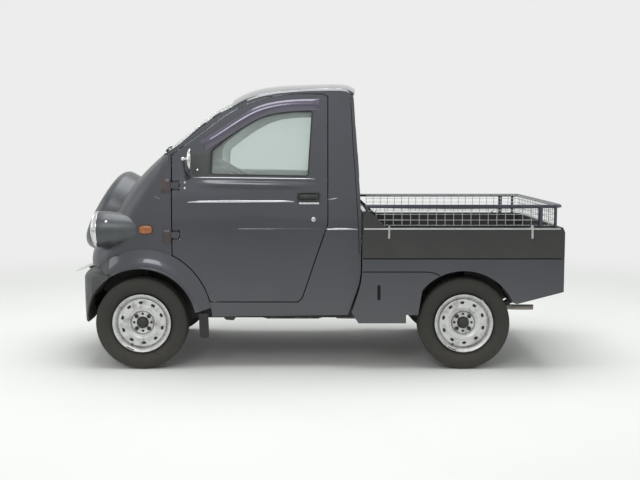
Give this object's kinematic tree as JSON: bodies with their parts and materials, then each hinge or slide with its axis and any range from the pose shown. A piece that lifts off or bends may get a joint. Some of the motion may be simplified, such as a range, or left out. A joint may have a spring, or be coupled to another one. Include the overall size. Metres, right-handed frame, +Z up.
{
  "type": "kei truck",
  "caption": "Small cab-over pickup truck with a rounded nose, a covered spare wheel in front, pod headlamps, black-sided flat bed and a round-bar rack with galvanised mesh.",
  "frame": {"origin": "bottom middle of the bounding box, on the ground under the truck", "axes": "the front of the truck faces -X, its left side faces -Y, +Z is up"},
  "size_m": [2.88, 1.4846, 1.6434],
  "materials": {
    "body": "dark blue-grey metallic paint under clear coat",
    "underbody": "satin black chassis paint",
    "board": "grained black moulding",
    "bumper": "fine-grained dark grey moulding",
    "pod": "smooth dark grey moulding",
    "dash": "grained black moulding",
    "glass": "clear pale green safety glass",
    "lens": "clear moulded lens",
    "tail_lens": "red moulded lens",
    "casting": "bare cast metal, dull",
    "exhaust": "dull aluminised steel",
    "chrome": "bright plating",
    "plate": "blank pale enamelled plate",
    "rack": "dark grey paint on round bar",
    "galvanised": "hot-dip galvanised welded mesh",
    "rim": "silver paint on pressed steel",
    "tyre": "worn black rubber",
    "seat": "dark grey woven cloth and vinyl"
  },
  "bodies": {
    "truck": {"bed_floor": "body", "bed_side_left": "board", "bed_side_right": "board", "cab_floor": "underbody", "cab_rear_wall": "body", "cab_side_left": "body", "cab_side_right": "body", "chassis_frame": "underbody", "dashboard": "dash", "engine": "casting", "exhaust": "exhaust", "front_bumper": "bumper", "front_crossmember": "underbody", "front_fender_left": "body", "front_fender_right": "body", "front_plate": "plate", "fuel_tank": "underbody", "headlamp_left": "pod", "headlamp_lens_left": "lens", "headlamp_lens_right": "lens", "headlamp_right": "pod", "nose_panel": "body", "quarter_panel_left": "body", "quarter_panel_right": "body", "rack_frame": "rack", "rack_mesh": "galvanised", "rear_axle": "underbody", "rear_panel": "body", "rear_window": "glass", "roof_panel": "body", "seat_base": "underbody", "seat_left": "seat", "seat_right": "seat", "spare_wheel": "pod", "tail_lamp_left": "tail_lens", "tail_lamp_right": "tail_lens", "wheelhouse_left": "underbody", "wheelhouse_right": "underbody", "windscreen": "glass"},
    "left_door": {"door_left": "body", "door_glass_left": "glass", "mirror_left": "chrome"},
    "right_door": {"door_right": "body", "door_glass_right": "glass", "mirror_right": "chrome"},
    "gate": {"tailgate": "board"},
    "steering": {"steering_wheel": "dash"},
    "left_knuckle": {"knuckle_left": "casting"},
    "right_knuckle": {"knuckle_right": "casting"},
    "wheel_front_left": {"tyre_front_left": "tyre", "rim_front_left": "rim"},
    "wheel_front_right": {"tyre_front_right": "tyre", "rim_front_right": "rim"},
    "wheel_rear_left": {"tyre_rear_left": "tyre", "rim_rear_left": "rim"},
    "wheel_rear_right": {"tyre_rear_right": "tyre", "rim_rear_right": "rim"}
  },
  "joints": [
    {"name": "left_door_hinge", "type": "hinge", "parent": "truck", "child": "left_door", "pos_m": [-0.74876, -0.59458, 0.77], "axis": [0, -0.0464, -0.9989], "range_deg": [0, 65]},
    {"name": "right_door_hinge", "type": "hinge", "parent": "truck", "child": "right_door", "pos_m": [-0.74876, 0.59458, 0.77], "axis": [0, -0.0464, 0.9989], "range_deg": [0, 65]},
    {"name": "tailgate_hinge", "type": "hinge", "parent": "truck", "child": "gate", "pos_m": [1.432, 0, 0.656], "axis": [0, 1, 0], "range_deg": [0, 90]},
    {"name": "steering_turn", "type": "hinge", "parent": "truck", "child": "steering", "pos_m": [-0.447, 0.28, 1.079], "axis": [0.5446, 0, 0.8387], "range_deg": [-600, 600]},
    {"name": "left_steer", "type": "hinge", "parent": "truck", "child": "left_knuckle", "pos_m": [-0.96, -0.49261, 0.263], "axis": [0, 0.257, 0.9664], "range_deg": [-32, 32]},
    {"name": "right_steer", "type": "hinge", "parent": "truck", "child": "right_knuckle", "pos_m": [-0.96, 0.49261, 0.263], "axis": [0, -0.257, 0.9664], "range_deg": [-32, 32]},
    {"name": "front_left_roll", "type": "hinge", "parent": "left_knuckle", "child": "wheel_front_left", "pos_m": [-0.96, -0.555, 0.263], "axis": [0, 1, 0], "continuous": true},
    {"name": "front_right_roll", "type": "hinge", "parent": "right_knuckle", "child": "wheel_front_right", "pos_m": [-0.96, 0.555, 0.263], "axis": [0, 1, 0], "continuous": true},
    {"name": "rear_left_roll", "type": "hinge", "parent": "truck", "child": "wheel_rear_left", "pos_m": [0.88, -0.555, 0.263], "axis": [0, 1, 0], "continuous": true},
    {"name": "rear_right_roll", "type": "hinge", "parent": "truck", "child": "wheel_rear_right", "pos_m": [0.88, 0.555, 0.263], "axis": [0, 1, 0], "continuous": true}
  ],
  "couplings": [
    {"joint": "left_steer", "follows": "steering_turn", "ratio": 0.053333},
    {"joint": "right_steer", "follows": "steering_turn", "ratio": 0.053333}
  ]
}
